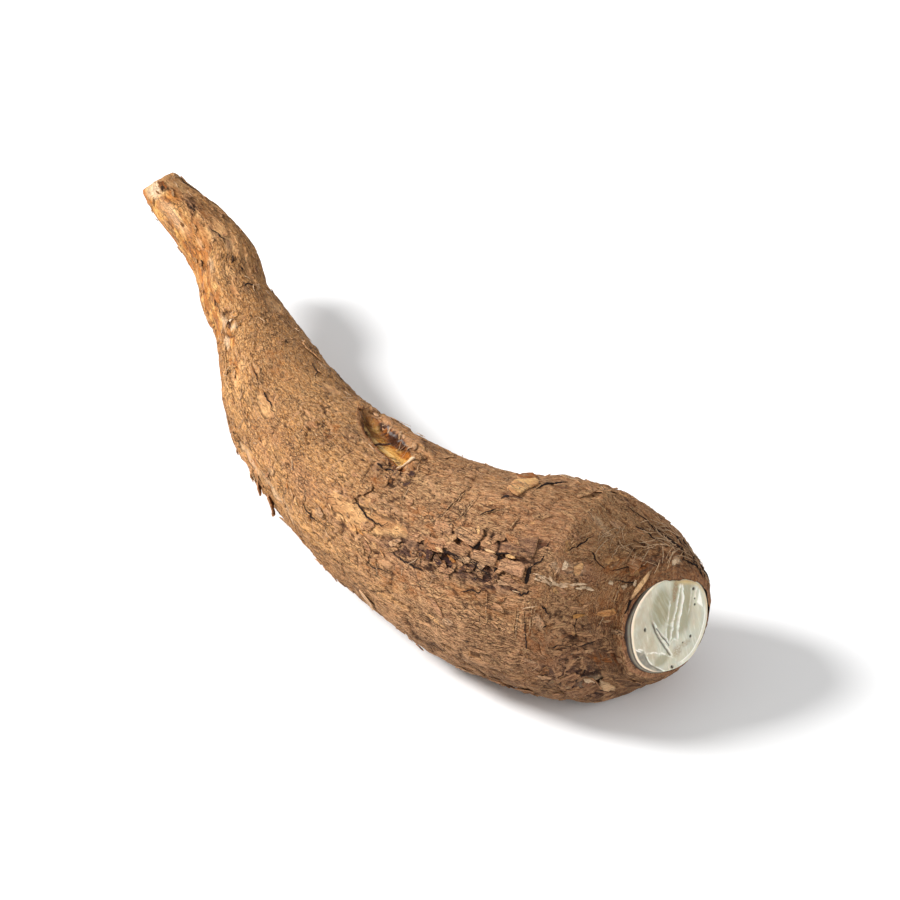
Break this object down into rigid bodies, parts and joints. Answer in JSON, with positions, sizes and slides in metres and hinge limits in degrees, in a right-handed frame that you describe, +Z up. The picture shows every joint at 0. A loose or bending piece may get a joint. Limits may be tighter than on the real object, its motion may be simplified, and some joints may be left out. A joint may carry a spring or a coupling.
{
  "type": "cassava root",
  "caption": "One cassava root with flaky brown bark, a bent neck, a healed wound and both ends cut across, lying on its side.",
  "frame": {"origin": "bottom centre of the root's bounding box, on the surface that it lies on", "axes": "+X along the root from the thin cut end to the thick cut end, +Z up from the surface, the thick middle bulges towards -Y"},
  "size_m": [0.3598, 0.1042, 0.0804],
  "materials": {
    "bark": "rough, flaky, dusty brown outer bark",
    "inner_bark": "smooth golden tan layer that shows where bark has peeled",
    "flesh": "damp, firm, pale flesh with knife marks"
  },
  "bodies": {
    "root": {"cassava_root": "bark"}
  },
  "joints": []
}
